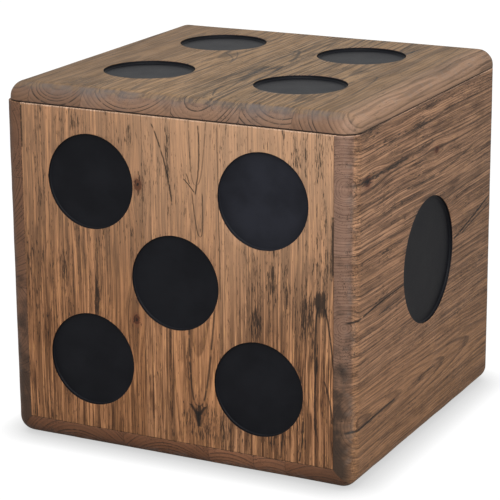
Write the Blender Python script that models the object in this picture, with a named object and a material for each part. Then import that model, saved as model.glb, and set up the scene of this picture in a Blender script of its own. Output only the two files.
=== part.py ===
"""A storage box in the shape of a playing die, built from solid wood boards.

Two sides and a bottom board are mitred into a U. A front and a back panel stand between the
sides on the bottom board, held by a glue cleat in each inner corner. The lid is one glued-up
board on two butt hinges at the back, and a slotted stay on the right wall stops it when open.
Each face carries shallow round recesses, the pips, and opposite faces add up to seven.

Metres, +Z up, the front faces -Y. The origin is on the floor, under the bounding box's middle.
"""

import math

import bmesh
import bpy
from mathutils import Matrix, Vector

# Box
WIDTH = 0.400
DEPTH = 0.388
HEIGHT = 0.386
EDGE_RADIUS = 0.018
EDGE_SEGMENTS = 6
BOARD = 0.022            # sides and bottom
PANEL = 0.020            # front and back
LID_BOARD = 0.020
SEAM = 0.0006            # between the rim and the lid
FIT = 0.0003             # between pieces that touch
LID_INSET_LEFT = 0.002
LID_INSET_FRONT = 0.001

# Pips
PIP_DEPTH = 0.004
PIP_SEGMENTS = 32
TOP_PIP_RADIUS = 0.0485
SIDE_PIP_RADIUS = 0.050
SINGLE_PIP_RADIUS = 0.068
SIX_PIP_RADIUS = 0.045
PIP_PITCH = 0.097        # from a face's middle to its outer pips
SIX_PIP_PITCH = 0.112    # along a row of three

# Cleats and battens
CLEAT = 0.018
CLEAT_TOP_GAP = 0.025    # below the rim
BATTEN_LENGTH = 0.280
BATTEN_WIDTH = 0.032
BATTEN_THICK = 0.012
BATTEN_SPREAD = 0.105    # from the lid's middle to each batten
BATTEN_SCREW_PITCH = 0.115
ARRIS = 0.0012           # chamfer on the cleats and battens

# Hinges
HINGE_LENGTH = 0.050
HINGE_SPREAD = 0.115
LEAF_THICK = 0.0018
LEAF_REACH = 0.019       # from the pin's axis to the leaf's inner edge
KNUCKLE_RADIUS = 0.0032
PIN_RADIUS = 0.0015
PIN_CLEARANCE = 0.0001
HINGE_STAND_OFF = 0.0036
HINGE_SCREW_PITCH = 0.014
KNUCKLE_COUNT = 3
LID_OPENS_DEG = 95.0

# Screws: head radius, shank radius, length
HINGE_SCREW = (0.0029, 0.0015, 0.013)
BATTEN_SCREW = (0.0036, 0.0018, 0.022)
HEAD_DEPTH = 0.0014
HEAD_RIM = 0.0002        # straight edge around a countersunk head
ROUND_SEGMENTS = 16      # screws and their holes
BARREL_SEGMENTS = 24     # hinge barrels, pins, the stud and the rivet

# Stay. Its stud and its pivot are equally far from the hinge axis, so the arm turns at exactly
# half the lid's angle and its slot stays on the stud.
STAY_REACH = 0.135       # from the hinge axis to the stud and to the pivot
STAY_SPAN_DEG = 20.0     # between them, seen from the hinge axis, with the lid closed
STAY_DROP = 0.013        # pivot below the lid
ARM_WIDTH = 0.016
ARM_THICK = 0.002
PLATE_THICK = 0.0015
PLATE_LENGTH = 0.046
PLATE_SCREW_PITCH = 0.015
STUD_RADIUS = 0.003
STUD_HEAD_RADIUS = 0.0055
RIVET_RADIUS = 0.0025
RIVET_HEAD_RADIUS = 0.0048
STAY_HEAD_THICK = 0.0015
RIVET_BACK_THICK = 0.0012
THREAD_RADIUS = 0.002
THREAD_LENGTH = 0.012
EAR_THICK = 0.0018
EAR_WIDTH = 0.014
FLANGE_WIDTH = 0.016
FLANGE_LENGTH = 0.034
FLANGE_SCREW_PITCH = 0.010
SLIDE_GAP = 0.0004       # between pieces that slide past each other
REACH_THROUGH = 0.020    # long enough for a bore through all the stay's pieces

# Places worked out from the sizes
HINGE_PROUD = HINGE_STAND_OFF + KNUCKLE_RADIUS
FRONT_Y = -(DEPTH + HINGE_PROUD) / 2
BACK_Y = FRONT_Y + DEPTH
MIDDLE_Y = (FRONT_Y + BACK_Y) / 2
MIDDLE_Z = HEIGHT / 2
SIDE_X = WIDTH / 2
WALL_X = SIDE_X - BOARD
RIM_Z = HEIGHT - LID_BOARD - SEAM
LID_Z = RIM_Z + SEAM
HINGE_Y = BACK_Y + HINGE_STAND_OFF
HINGE_Z = (RIM_Z + LID_Z) / 2
STAY_PIVOT_DEG = 180.0 + math.degrees(math.asin((HINGE_Z - LID_Z + STAY_DROP) / STAY_REACH))

# Pip centres. The front and the top were set out by hand, a few millimetres off a grid.
FRONT_PIPS = [(-0.096, 0.290), (0.101, 0.291), (0.001, 0.194), (-0.099, 0.098), (0.095, 0.094)]
TOP_PIPS = [(-0.091, 0.095), (0.082, 0.087), (-0.091, -0.075), (0.088, -0.079)]
TWO = [(-PIP_PITCH, PIP_PITCH), (PIP_PITCH, -PIP_PITCH)]
THREE = [*TWO, (0.0, 0.0)]
SIX = [(side * PIP_PITCH, row * SIX_PIP_PITCH) for side in (-1, 1) for row in (-1, 0, 1)]

# Name: base colour, roughness, metallic
FINISHES = {
    "lid_wood": ((0.23, 0.14, 0.085), 0.55, 0.0),
    "side_wood": ((0.20, 0.115, 0.068), 0.6, 0.0),
    "panel_wood": ((0.29, 0.165, 0.092), 0.6, 0.0),
    "inner_wood": ((0.36, 0.24, 0.15), 0.7, 0.0),
    "brass": ((0.47, 0.33, 0.14), 0.38, 1.0),
    "steel": ((0.55, 0.55, 0.56), 0.35, 1.0),
}

UP = Vector((0, 0, 1))
RIGHT = Vector((1, 0, 0))
BACK = Vector((0, 1, 0))


# ---- Scene and object helpers

def clear_scene():
    for item in list(bpy.data.objects):
        bpy.data.objects.remove(item, do_unlink=True)


def make_material(name):
    colour, roughness, metallic = FINISHES[name]
    material = bpy.data.materials.new(name)
    material.use_nodes = True
    shader = material.node_tree.nodes["Principled BSDF"]
    shader.inputs["Base Color"].default_value = (*colour, 1.0)
    shader.inputs["Roughness"].default_value = roughness
    shader.inputs["Metallic"].default_value = metallic
    return material


def add_object(name, mesh, parent=None, place=None):
    item = bpy.data.objects.new(name, mesh)
    bpy.context.scene.collection.objects.link(item)
    if parent is not None:
        item.parent = parent
        item.matrix_parent_inverse = parent.matrix_basis.inverted()
    if place is not None:
        item.matrix_basis = place
    return item


def add_piece(name, mesh, finish, parent=None, place=None):
    """One named sub-part with its own copy of a finish."""
    item = add_object(name, mesh.copy(), parent, place)
    material = make_material(finish)
    material.name = f"{name}_{finish}"
    item.data.materials.append(material)
    item.data.name = name
    return item


def add_pivot(name, place):
    """An empty on a joint's axis, which its moving pieces hang on."""
    pivot = bpy.data.objects.new(name, None)
    bpy.context.scene.collection.objects.link(pivot)
    pivot.matrix_basis = Matrix.Translation(place)
    return pivot


def boolean(item, operation, tool_mesh):
    """Joins or cuts item with a hidden tool that is already in world coordinates."""
    tool = add_object(f"{item.name}_{operation.lower()}", tool_mesh)
    tool.hide_render = True
    tool.display_type = "WIRE"
    modifier = item.modifiers.new(tool.name, "BOOLEAN")
    modifier.operation = operation
    modifier.solver = "EXACT"
    modifier.object = tool


def chamfer(item, width):
    modifier = item.modifiers.new("Bevel", "BEVEL")
    modifier.width = width
    modifier.segments = 1
    modifier.limit_method = "ANGLE"


# ---- Mesh helpers

def finish_mesh(name, bm, smooth=False):
    bmesh.ops.recalc_face_normals(bm, faces=bm.faces)
    mesh = bpy.data.meshes.new(name)
    bm.to_mesh(mesh)
    bm.free()
    if smooth:
        mesh.shade_smooth()
        mesh.set_sharp_from_angle(angle=math.radians(35))
    return mesh


def along(direction):
    """Turns +Z into a direction."""
    return UP.rotation_difference(direction).to_matrix().to_4x4()


def add_box(bm, low, high):
    low, high = Vector(low), Vector(high)
    place = Matrix.Translation((low + high) / 2) @ Matrix.Diagonal((*(high - low), 1.0))
    return bmesh.ops.create_cube(bm, size=1.0, matrix=place)["verts"]


def box_mesh(name, low, high):
    bm = bmesh.new()
    add_box(bm, low, high)
    return finish_mesh(name, bm)


def boxes_mesh(name, corner_pairs):
    bm = bmesh.new()
    for low, high in corner_pairs:
        add_box(bm, low, high)
    return finish_mesh(name, bm)


def cylinders_mesh(name, cylinders, segments=ROUND_SEGMENTS):
    """Separate cylinders, each from a start point along a direction: (start, direction, length, radius)."""
    bm = bmesh.new()
    for start, direction, length, radius in cylinders:
        middle = Vector(start) + direction * (length / 2)
        place = Matrix.Translation(middle) @ along(direction)
        bmesh.ops.create_cone(
            bm, cap_ends=True, segments=segments, radius1=radius, radius2=radius, depth=length, matrix=place
        )
    return finish_mesh(name, bm, smooth=True)


def lathe_mesh(name, profile, segments=ROUND_SEGMENTS):
    """Turns (radius, height) points about Z. The first and last points are on the axis."""
    bm = bmesh.new()
    verts = [bm.verts.new((radius, 0.0, height)) for radius, height in profile]
    edges = [bm.edges.new(pair) for pair in zip(verts, verts[1:])]
    bmesh.ops.spin(
        bm, geom=verts + edges, cent=(0, 0, 0), axis=UP, angle=math.tau, steps=segments, use_merge=True
    )
    bmesh.ops.remove_doubles(bm, verts=bm.verts, dist=1e-6)
    return finish_mesh(name, bm, smooth=True)


def arc(centre, radius, start_deg, end_deg, steps):
    angles = [math.radians(start_deg + (end_deg - start_deg) * k / steps) for k in range(steps + 1)]
    return [(centre[0] + radius * math.cos(a), centre[1] + radius * math.sin(a)) for a in angles]


def stadium(length, width, steps=8):
    """A straight slot's outline: two half circles, one centred on the origin and one length away."""
    first = arc((0.0, 0.0), width / 2, 90, 270, steps)
    second = arc((length, 0.0), width / 2, -90, 90, steps)
    return first + second


def prism_mesh(name, outline, thickness):
    """An outline in X and Y, extruded from Z = 0 up to the thickness."""
    bm = bmesh.new()
    face = bm.faces.new([bm.verts.new((x, y, 0.0)) for x, y in outline])
    grown = bmesh.ops.extrude_face_region(bm, geom=[face])
    moved = [v for v in grown["geom"] if isinstance(v, bmesh.types.BMVert)]
    bmesh.ops.translate(bm, verts=moved, vec=UP * thickness)
    return finish_mesh(name, bm, smooth=True)


def rounded_block(low, high, flat_end):
    """A block with round edges all over, except around its flat end: +1 is its top, -1 its bottom."""
    bm = bmesh.new()
    add_box(bm, low, high)
    flat_z = high[2] if flat_end > 0 else low[2]
    on_flat_end = [e for e in bm.edges if all(abs(v.co.z - flat_z) < 1e-6 for v in e.verts)]
    edges = [e for e in bm.edges if e not in on_flat_end]
    bmesh.ops.bevel(
        bm,
        geom=edges,
        offset=EDGE_RADIUS,
        segments=EDGE_SEGMENTS,
        profile=0.5,
        affect="EDGES",
        clamp_overlap=False,
    )
    return bm


def trim(bm, point, normal):
    """Cuts a convex solid at a plane and closes it, keeping the side behind the normal."""
    everything = [*bm.verts, *bm.edges, *bm.faces]
    cut = bmesh.ops.bisect_plane(
        bm, geom=everything, dist=1e-7, plane_co=point, plane_no=normal, clear_outer=True
    )
    rim = [e for e in cut["geom_cut"] if isinstance(e, bmesh.types.BMEdge)]
    bmesh.ops.contextual_create(bm, geom=rim)


# ---- Pips

def pip_cutters(face_point, right, up, centres, radius):
    """Discs that sink PIP_DEPTH into a flat face. Centres are (along right, along up) from face_point."""
    outward = right.cross(up)
    over = 0.005
    return [
        (Vector(face_point) + right * a + up * b - outward * PIP_DEPTH, outward, PIP_DEPTH + over, radius)
        for a, b in centres
    ]


def cut_pips(item, face_point, right, up, centres, radius):
    discs = pip_cutters(face_point, right, up, centres, radius)
    boolean(item, "DIFFERENCE", cylinders_mesh(f"{item.name}_pips", discs, PIP_SEGMENTS))


# ---- Screws

def screw_mesh(name, head_radius, shank_radius, length):
    """Countersunk wood screw, head face at Z = 0, pointing down."""
    tip = 1.6 * shank_radius
    socket = 0.36 * head_radius
    profile = [
        (0.0, -0.6 * HEAD_DEPTH),
        (0.6 * socket, -0.6 * HEAD_DEPTH),
        (socket, 0.0),
        (head_radius, 0.0),
        (head_radius, -HEAD_RIM),
        (shank_radius, -HEAD_DEPTH),
        (shank_radius, tip - length),
        (0.0, -length),
    ]
    return lathe_mesh(name, profile)


def add_screw(name, size, head_point, outward, finish, parent=None):
    place = Matrix.Translation(head_point) @ along(outward)
    return add_piece(name, screw_mesh(name, *size), finish, parent, place)


def pilot_hole(size, head_point, outward):
    """Room for a screw's shank in the wood."""
    shank_radius, length = size[1], size[2]
    return (Vector(head_point), -outward, length + FIT, shank_radius + FIT)


def sink(item, size, head_points, outward, through):
    """Countersunk holes through a thin piece whose outer face the heads are flush with."""
    head_radius, shank_radius = size[0], size[1]
    over = 0.001
    slope = (head_radius - shank_radius) / (HEAD_DEPTH - HEAD_RIM)
    cone_top = head_radius + FIT + slope * (over + HEAD_RIM)
    bm = bmesh.new()
    for point in head_points:
        middle = Vector(point) + outward * (over - HEAD_DEPTH) / 2
        place = Matrix.Translation(middle) @ along(outward)
        bmesh.ops.create_cone(
            bm,
            cap_ends=True,
            segments=ROUND_SEGMENTS,
            radius1=shank_radius + FIT,
            radius2=cone_top,
            depth=HEAD_DEPTH + over,
            matrix=place,
        )
    boolean(item, "DIFFERENCE", finish_mesh(f"{item.name}_sinks", bm, smooth=True))
    shanks = [
        (Vector(point) + outward * over, -outward, through + 2 * over, shank_radius + FIT)
        for point in head_points
    ]
    boolean(item, "DIFFERENCE", cylinders_mesh(f"{item.name}_shanks", shanks))


# ---- Carcass

def carcass_block():
    return rounded_block((-SIDE_X, FRONT_Y, 0.0), (SIDE_X, BACK_Y, RIM_Z), flat_end=1)


def mitre_plane(side, offset):
    """The 45 degree plane from a bottom edge of the box to the inner corner, moved up by an offset."""
    return (side * SIDE_X, 0.0, offset * math.sqrt(2)), Vector((side, 0.0, 1.0)).normalized()


def make_side(name, side):
    bm = carcass_block()
    trim(bm, (side * WALL_X, 0.0, 0.0), -side * RIGHT)
    point, upward = mitre_plane(side, FIT / 2)
    trim(bm, point, -upward)
    return add_piece(name, finish_mesh(name, bm, smooth=True), "side_wood")


def make_bottom():
    bm = carcass_block()
    trim(bm, (0.0, 0.0, BOARD), UP)
    for side in (-1, 1):
        point, upward = mitre_plane(side, -FIT / 2)
        trim(bm, point, upward)
    return add_piece("bottom_board", finish_mesh("bottom_board", bm, smooth=True), "side_wood")


def make_upright_panel(name, outer_y, inner_y):
    low = (-WALL_X + FIT, min(outer_y, inner_y), BOARD + FIT)
    high = (WALL_X - FIT, max(outer_y, inner_y), RIM_Z)
    return add_piece(name, box_mesh(name, low, high), "panel_wood")


def make_cleats():
    """A square glue cleat in each inner corner, from the bottom board to just below the rim."""
    inner_front = FRONT_Y + PANEL
    inner_back = BACK_Y - PANEL
    for depth_name, wall_y, inward_y in (("front", inner_front, 1), ("rear", inner_back, -1)):
        for side_name, side in (("left", -1), ("right", 1)):
            corner = (side * (WALL_X - FIT), wall_y + inward_y * FIT, BOARD + FIT)
            opposite_x = side * (WALL_X - FIT - CLEAT)
            opposite_y = wall_y + inward_y * (FIT + CLEAT)
            opposite = (opposite_x, opposite_y, RIM_Z - CLEAT_TOP_GAP)
            low = [min(pair) for pair in zip(corner, opposite)]
            high = [max(pair) for pair in zip(corner, opposite)]
            name = f"corner_cleat_{depth_name}_{side_name}"
            chamfer(add_piece(name, box_mesh(name, low, high), "inner_wood"), ARRIS)


# ---- Lid

def make_lid(pivot):
    low = (-SIDE_X + LID_INSET_LEFT, FRONT_Y + LID_INSET_FRONT, LID_Z)
    bm = rounded_block(low, (SIDE_X, BACK_Y, HEIGHT), flat_end=-1)
    return add_piece("lid_panel", finish_mesh("lid_panel", bm, smooth=True), "lid_wood", pivot)


def make_battens(pivot):
    """Two battens across the staves. Returns the screws' head points."""
    heads = []
    bottom = LID_Z - FIT - BATTEN_THICK
    for name, y in (("front", MIDDLE_Y - BATTEN_SPREAD), ("rear", MIDDLE_Y + BATTEN_SPREAD)):
        low = (-BATTEN_LENGTH / 2, y - BATTEN_WIDTH / 2, bottom)
        high = (BATTEN_LENGTH / 2, y + BATTEN_WIDTH / 2, LID_Z - FIT)
        piece = f"lid_batten_{name}"
        batten = add_piece(piece, box_mesh(piece, low, high), "inner_wood", pivot)
        points = [(k * BATTEN_SCREW_PITCH, y, bottom) for k in (-1, 0, 1)]
        sink(batten, BATTEN_SCREW, points, -UP, BATTEN_THICK)
        chamfer(batten, ARRIS)
        for number, point in enumerate(points, start=1):
            add_screw(f"batten_screw_{name}_{number}", BATTEN_SCREW, point, -UP, "steel", pivot)
        heads += points
    return heads


# ---- Hinges

def knuckle_spans(x, own):
    """The stretches of barrel that belong to one leaf: the odd knuckles or the even ones."""
    pitch = HINGE_LENGTH / KNUCKLE_COUNT
    first = x - HINGE_LENGTH / 2
    gap = SLIDE_GAP / 2
    numbers = range(own, KNUCKLE_COUNT, 2)
    return [(first + k * pitch + gap, first + (k + 1) * pitch - gap) for k in numbers]


def make_leaf(name, x, facing, own, parent=None):
    """One leaf of a closed hinge. It faces up on the rim (+1) or down under the lid (-1)."""
    inner_z = HINGE_Z - facing * FIT / 2
    outer_z = inner_z - facing * LEAF_THICK
    low_z, high_z = sorted((inner_z, outer_z))
    clear_of_barrel = HINGE_Y - KNUCKLE_RADIUS - SLIDE_GAP
    plate_low = (x - HINGE_LENGTH / 2, HINGE_Y - LEAF_REACH, low_z)
    plate_high = (x + HINGE_LENGTH / 2, clear_of_barrel, high_z)
    leaf = add_piece(name, box_mesh(name, plate_low, plate_high), "brass", parent)
    spans = knuckle_spans(x, own)
    overlap = 0.002
    tongues = [
        ((start, clear_of_barrel - overlap, low_z), (end, HINGE_Y, high_z)) for start, end in spans
    ]
    boolean(leaf, "UNION", boxes_mesh(f"{name}_tongues", tongues))
    barrels = [((start, HINGE_Y, HINGE_Z), RIGHT, end - start, KNUCKLE_RADIUS) for start, end in spans]
    boolean(leaf, "UNION", cylinders_mesh(f"{name}_barrels", barrels, segments=BARREL_SEGMENTS))
    bore_start = (x - HINGE_LENGTH, HINGE_Y, HINGE_Z)
    bore = [(bore_start, RIGHT, 2 * HINGE_LENGTH, PIN_RADIUS + PIN_CLEARANCE)]
    boolean(leaf, "DIFFERENCE", cylinders_mesh(f"{name}_bore", bore, segments=BARREL_SEGMENTS))
    heads = hinge_screw_heads(x, inner_z)
    sink(leaf, HINGE_SCREW, heads, facing * UP, LEAF_THICK)
    for number, point in enumerate(heads, start=1):
        add_screw(f"{name}_screw_{number}", HINGE_SCREW, point, facing * UP, "brass", parent)
    return heads


def hinge_screw_heads(x, z):
    y = (HINGE_Y - LEAF_REACH + BACK_Y) / 2
    return [(x + side * HINGE_SCREW_PITCH, y, z) for side in (-1, 1)]


def make_hinges(pivot):
    """Two butt hinges. Returns the screw head points of the rim leaves and of the lid leaves."""
    rim_heads = []
    lid_heads = []
    for side_name, side in (("left", -1), ("right", 1)):
        x = side * HINGE_SPREAD
        rim_heads += make_leaf(f"hinge_{side_name}_body_leaf", x, 1, 0)
        lid_heads += make_leaf(f"hinge_{side_name}_lid_leaf", x, -1, 1, pivot)
        name = f"hinge_{side_name}_pin"
        stem = [((-HINGE_LENGTH / 2, 0, 0), RIGHT, HINGE_LENGTH, PIN_RADIUS)]
        pin = cylinders_mesh(name, stem, segments=BARREL_SEGMENTS)
        add_piece(name, pin, "brass", place=Matrix.Translation((x, HINGE_Y, HINGE_Z)))
    return rim_heads, lid_heads


def hinge_pockets(name, facing):
    """Shallow mortises for the leaves, in the rim (+1) or in the lid's underside (-1)."""
    floor_z = HINGE_Z - facing * (FIT / 2 + LEAF_THICK + FIT)
    mouth_z = HINGE_Z + facing * 0.002
    low_z, high_z = sorted((floor_z, mouth_z))
    half = HINGE_LENGTH / 2 + FIT
    boxes = [
        ((x - half, HINGE_Y - LEAF_REACH - FIT, low_z), (x + half, HINGE_Y + KNUCKLE_RADIUS, high_z))
        for x in (-HINGE_SPREAD, HINGE_SPREAD)
    ]
    return boxes_mesh(name, boxes)


# ---- Stay

def stay_point(angle_deg):
    """A point at the stay's reach from the hinge axis, as (y, z)."""
    angle = math.radians(angle_deg)
    return HINGE_Y + STAY_REACH * math.cos(angle), HINGE_Z + STAY_REACH * math.sin(angle)


def stay_chord(opening_deg):
    """Distance from the pivot to the stud with the lid opened by an angle."""
    return 2 * STAY_REACH * math.sin(math.radians((STAY_SPAN_DEG + opening_deg) / 2))


def on_wall(y, z, clearance, turn_deg=0.0):
    """Places a flat piece drawn in X and Y on the right wall.

    Its X runs along +Y, turned up by an angle, its Y runs down, and its Z points into the box.
    """
    facing = Matrix(((0, 0, -1), (1, 0, 0), (0, -1, 0))).to_4x4()
    turn = Matrix.Rotation(math.radians(turn_deg), 4, "X")
    return Matrix.Translation((WALL_X - clearance, y, z)) @ turn @ facing


def make_stay(pivot):
    """The slotted stay. Returns the wall's pilot holes and the lid bracket's screw head points."""
    pivot_y, pivot_z = stay_point(STAY_PIVOT_DEG)
    stud_y, stud_z = stay_point(STAY_PIVOT_DEG + STAY_SPAN_DEG)
    plate_face = FIT + PLATE_THICK
    arm_start = plate_face + SLIDE_GAP
    arm_face = arm_start + ARM_THICK
    head_start = arm_face + SLIDE_GAP

    # Wall plate and its two screws
    outline = stadium(PLATE_LENGTH - ARM_WIDTH, ARM_WIDTH)
    start_y = stud_y - (PLATE_LENGTH - ARM_WIDTH) / 2
    plate = add_piece(
        "stay_wall_plate",
        prism_mesh("stay_wall_plate", outline, PLATE_THICK),
        "steel",
        place=on_wall(start_y, stud_z, FIT),
    )
    heads = [(WALL_X - plate_face, stud_y + side * PLATE_SCREW_PITCH, stud_z) for side in (-1, 1)]
    sink(plate, HINGE_SCREW, heads, -RIGHT, PLATE_THICK)
    for number, point in enumerate(heads, start=1):
        add_screw(f"stay_wall_plate_screw_{number}", HINGE_SCREW, point, -RIGHT, "steel")
    holes = [pilot_hole(HINGE_SCREW, point, -RIGHT) for point in heads]

    # Shouldered stud: thread in the wall, shoulder in the arm's slot, head inside
    shoulder = plate_face + SLIDE_GAP / 2
    profile = [
        (0.0, -THREAD_LENGTH),
        (THREAD_RADIUS, -THREAD_LENGTH),
        (THREAD_RADIUS, shoulder),
        (STUD_RADIUS, shoulder),
        (STUD_RADIUS, head_start),
        (STUD_HEAD_RADIUS, head_start),
        (STUD_HEAD_RADIUS, head_start + 0.6 * STAY_HEAD_THICK),
        (0.8 * STUD_HEAD_RADIUS, head_start + STAY_HEAD_THICK),
        (0.0, head_start + STAY_HEAD_THICK),
    ]
    stud_place = Matrix.Translation((WALL_X, stud_y, stud_z)) @ along(-RIGHT)
    stud = lathe_mesh("stay_stud", profile, segments=BARREL_SEGMENTS)
    add_piece("stay_stud", stud, "steel", place=stud_place)
    stud_hole = [((WALL_X + THREAD_LENGTH + FIT, stud_y, stud_z), -RIGHT, REACH_THROUGH, THREAD_RADIUS + FIT)]
    boolean(plate, "DIFFERENCE", cylinders_mesh("stay_wall_plate_bore", stud_hole))
    holes += stud_hole

    # Arm, with its origin on the pivot and its length towards the stud
    arm_pivot = add_pivot("stay_arm_axis", (0.0, pivot_y, pivot_z))
    arm_pivot.parent = pivot
    arm_pivot.matrix_parent_inverse = pivot.matrix_basis.inverted()
    slot_start = stay_chord(0.0) - SLIDE_GAP
    slot_end = stay_chord(LID_OPENS_DEG) + SLIDE_GAP
    slot_width = 2 * (STUD_RADIUS + FIT)
    direction_deg = math.degrees(math.atan2(stud_z - pivot_z, stud_y - pivot_y))
    arm_place = on_wall(pivot_y, pivot_z, arm_start, direction_deg)
    arm_length = slot_end + ARM_WIDTH / 2
    blank = prism_mesh("stay_arm", stadium(arm_length, ARM_WIDTH), ARM_THICK)
    arm = add_piece("stay_arm", blank, "steel", arm_pivot, arm_place)
    over = 0.002
    slot = prism_mesh("stay_arm_slot", stadium(slot_end - slot_start, slot_width), ARM_THICK + 2 * over)
    slot.transform(arm_place @ Matrix.Translation((slot_start, 0.0, -over)))
    boolean(arm, "DIFFERENCE", slot)
    hole_start = (WALL_X, pivot_y, pivot_z)
    hole = [(hole_start, -RIGHT, REACH_THROUGH, RIVET_RADIUS + PIN_CLEARANCE)]
    boolean(arm, "DIFFERENCE", cylinders_mesh("stay_arm_bore", hole, segments=BARREL_SEGMENTS))

    # Lid bracket: a flange under the lid and a round-ended ear beside the arm
    ear_x = WALL_X - arm_face - SLIDE_GAP
    flange_z = LID_Z - FIT
    low = (ear_x - FLANGE_WIDTH, pivot_y - FLANGE_LENGTH / 2, flange_z - EAR_THICK)
    high = (ear_x, pivot_y + FLANGE_LENGTH / 2, flange_z)
    bracket = add_piece("stay_lid_bracket", box_mesh("stay_lid_bracket", low, high), "steel", pivot)
    ear_rise = flange_z - EAR_THICK / 2 - pivot_z
    crown = arc((0, 0), EAR_WIDTH / 2, 0, 180, 8)
    ear_outline = [(EAR_WIDTH / 2, -ear_rise), *crown, (-EAR_WIDTH / 2, -ear_rise)]
    ear = prism_mesh("stay_lid_bracket_ear", ear_outline, EAR_THICK)
    ear.transform(on_wall(pivot_y, pivot_z, WALL_X - ear_x))
    boolean(bracket, "UNION", ear)
    boolean(bracket, "DIFFERENCE", cylinders_mesh("stay_lid_bracket_bore", hole, segments=BARREL_SEGMENTS))
    flange_x = ear_x - EAR_THICK - (FLANGE_WIDTH - EAR_THICK) / 2
    lid_heads = [(flange_x, pivot_y + side * FLANGE_SCREW_PITCH, flange_z - EAR_THICK) for side in (-1, 1)]
    sink(bracket, HINGE_SCREW, lid_heads, -UP, EAR_THICK)
    for number, point in enumerate(lid_heads, start=1):
        add_screw(f"stay_lid_bracket_screw_{number}", HINGE_SCREW, point, -UP, "steel", pivot)

    # Pivot rivet through the arm and the ear
    wall_head = arm_start - FIT
    ear_face = arm_face + SLIDE_GAP + EAR_THICK + FIT
    rivet_profile = [
        (0.0, wall_head - RIVET_BACK_THICK),
        (RIVET_HEAD_RADIUS, wall_head - RIVET_BACK_THICK),
        (RIVET_HEAD_RADIUS, wall_head),
        (RIVET_RADIUS, wall_head),
        (RIVET_RADIUS, ear_face),
        (RIVET_HEAD_RADIUS, ear_face),
        (0.7 * RIVET_HEAD_RADIUS, ear_face + STAY_HEAD_THICK),
        (0.0, ear_face + STAY_HEAD_THICK),
    ]
    rivet_place = Matrix.Translation((WALL_X, pivot_y, pivot_z)) @ along(-RIGHT)
    rivet = lathe_mesh("stay_pivot_rivet", rivet_profile, segments=BARREL_SEGMENTS)
    add_piece("stay_pivot_rivet", rivet, "steel", pivot, rivet_place)
    return holes, lid_heads


# ---- Assembly

def build():
    clear_scene()
    lid_axis = add_pivot("lid_axis", (0.0, HINGE_Y, HINGE_Z))

    left = make_side("left_side_panel", -1)
    right = make_side("right_side_panel", 1)
    bottom = make_bottom()
    front = make_upright_panel("front_panel", FRONT_Y, FRONT_Y + PANEL)
    back = make_upright_panel("back_panel", BACK_Y, BACK_Y - PANEL)
    make_cleats()
    lid = make_lid(lid_axis)
    batten_heads = make_battens(lid_axis)
    rim_heads, lid_heads = make_hinges(lid_axis)
    wall_holes, bracket_heads = make_stay(lid_axis)

    # Pips
    cut_pips(lid, (0, MIDDLE_Y, HEIGHT), RIGHT, BACK, TOP_PIPS, TOP_PIP_RADIUS)
    cut_pips(bottom, (0, MIDDLE_Y, 0), BACK, RIGHT, THREE, SIDE_PIP_RADIUS)
    cut_pips(front, (0, FRONT_Y, 0), RIGHT, UP, FRONT_PIPS, SIDE_PIP_RADIUS)
    cut_pips(back, (0, BACK_Y, MIDDLE_Z), -RIGHT, UP, TWO, SIDE_PIP_RADIUS)
    cut_pips(right, (SIDE_X, MIDDLE_Y, MIDDLE_Z), BACK, UP, [(0.0, 0.0)], SINGLE_PIP_RADIUS)
    cut_pips(left, (-SIDE_X, MIDDLE_Y, MIDDLE_Z), -BACK, UP, SIX, SIX_PIP_RADIUS)

    # Mortises and pilot holes
    boolean(back, "DIFFERENCE", hinge_pockets("rim_mortises", 1))
    boolean(lid, "DIFFERENCE", hinge_pockets("lid_mortises", -1))
    rim_holes = [pilot_hole(HINGE_SCREW, point, UP) for point in rim_heads]
    boolean(back, "DIFFERENCE", cylinders_mesh("rim_pilots", rim_holes))
    lid_holes = [pilot_hole(HINGE_SCREW, point, -UP) for point in lid_heads + bracket_heads]
    lid_holes += [pilot_hole(BATTEN_SCREW, point, -UP) for point in batten_heads]
    boolean(lid, "DIFFERENCE", cylinders_mesh("lid_pilots", lid_holes))
    boolean(right, "DIFFERENCE", cylinders_mesh("wall_pilots", wall_holes))


build()
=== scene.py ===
"""Looks for the wooden die storage box: worn boards, painted pips, hardware, floor, light and camera."""
from dataclasses import dataclass
import math

import bmesh
import bpy
from mathutils import Matrix, Vector, noise


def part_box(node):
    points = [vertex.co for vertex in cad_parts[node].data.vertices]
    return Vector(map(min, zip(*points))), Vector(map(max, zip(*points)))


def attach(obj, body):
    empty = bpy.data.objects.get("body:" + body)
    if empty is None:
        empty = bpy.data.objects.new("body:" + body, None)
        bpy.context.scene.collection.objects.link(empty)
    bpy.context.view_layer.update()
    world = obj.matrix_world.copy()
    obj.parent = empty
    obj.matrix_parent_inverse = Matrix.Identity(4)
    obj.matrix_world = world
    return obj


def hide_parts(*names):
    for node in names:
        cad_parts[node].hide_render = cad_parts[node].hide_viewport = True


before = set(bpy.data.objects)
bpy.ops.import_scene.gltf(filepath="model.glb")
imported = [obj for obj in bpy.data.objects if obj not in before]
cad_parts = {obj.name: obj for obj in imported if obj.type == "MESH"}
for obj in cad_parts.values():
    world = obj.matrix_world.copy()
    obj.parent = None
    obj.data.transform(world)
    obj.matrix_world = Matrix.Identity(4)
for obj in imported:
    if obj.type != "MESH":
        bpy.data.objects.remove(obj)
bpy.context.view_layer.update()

MM = 0.001
RIGHT = Vector((1, 0, 0))
BACK = Vector((0, 1, 0))
UP = Vector((0, 0, 1))

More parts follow.
